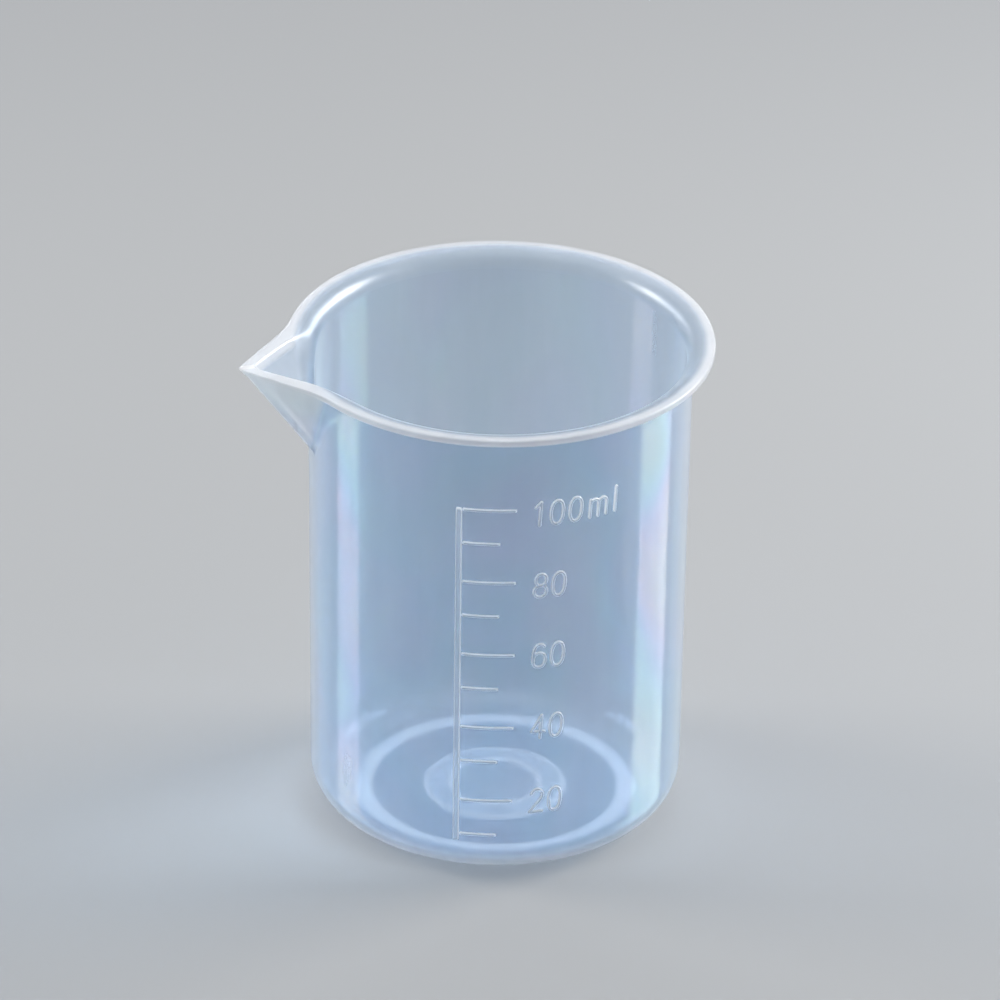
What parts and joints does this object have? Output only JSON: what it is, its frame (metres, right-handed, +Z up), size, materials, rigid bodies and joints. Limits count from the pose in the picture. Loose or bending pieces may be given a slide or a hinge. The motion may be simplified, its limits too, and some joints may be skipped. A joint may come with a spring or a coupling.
{
  "type": "graduated laboratory beaker",
  "caption": "Low-form translucent plastic beaker with a turned-out lip, a V-shaped pouring spout, a rounded heel on a flat foot and a raised volume scale.",
  "frame": {"origin": "centre of the foot, on the surface that the beaker stands on", "axes": "+Z up along the beaker's axis, -X along the pouring spout, -Y towards the front, which carries the raised scale"},
  "size_m": [0.0637, 0.0564, 0.068],
  "materials": {
    "polypropylene": "translucent natural polypropylene, as moulded, with a soft gloss"
  },
  "bodies": {
    "root": {"base_panel": "polypropylene", "heel_ring": "polypropylene", "side_wall": "polypropylene", "flared_lip": "polypropylene", "pouring_spout": "polypropylene", "scale_spine": "polypropylene", "long_marks": "polypropylene", "short_marks": "polypropylene"}
  },
  "joints": []
}
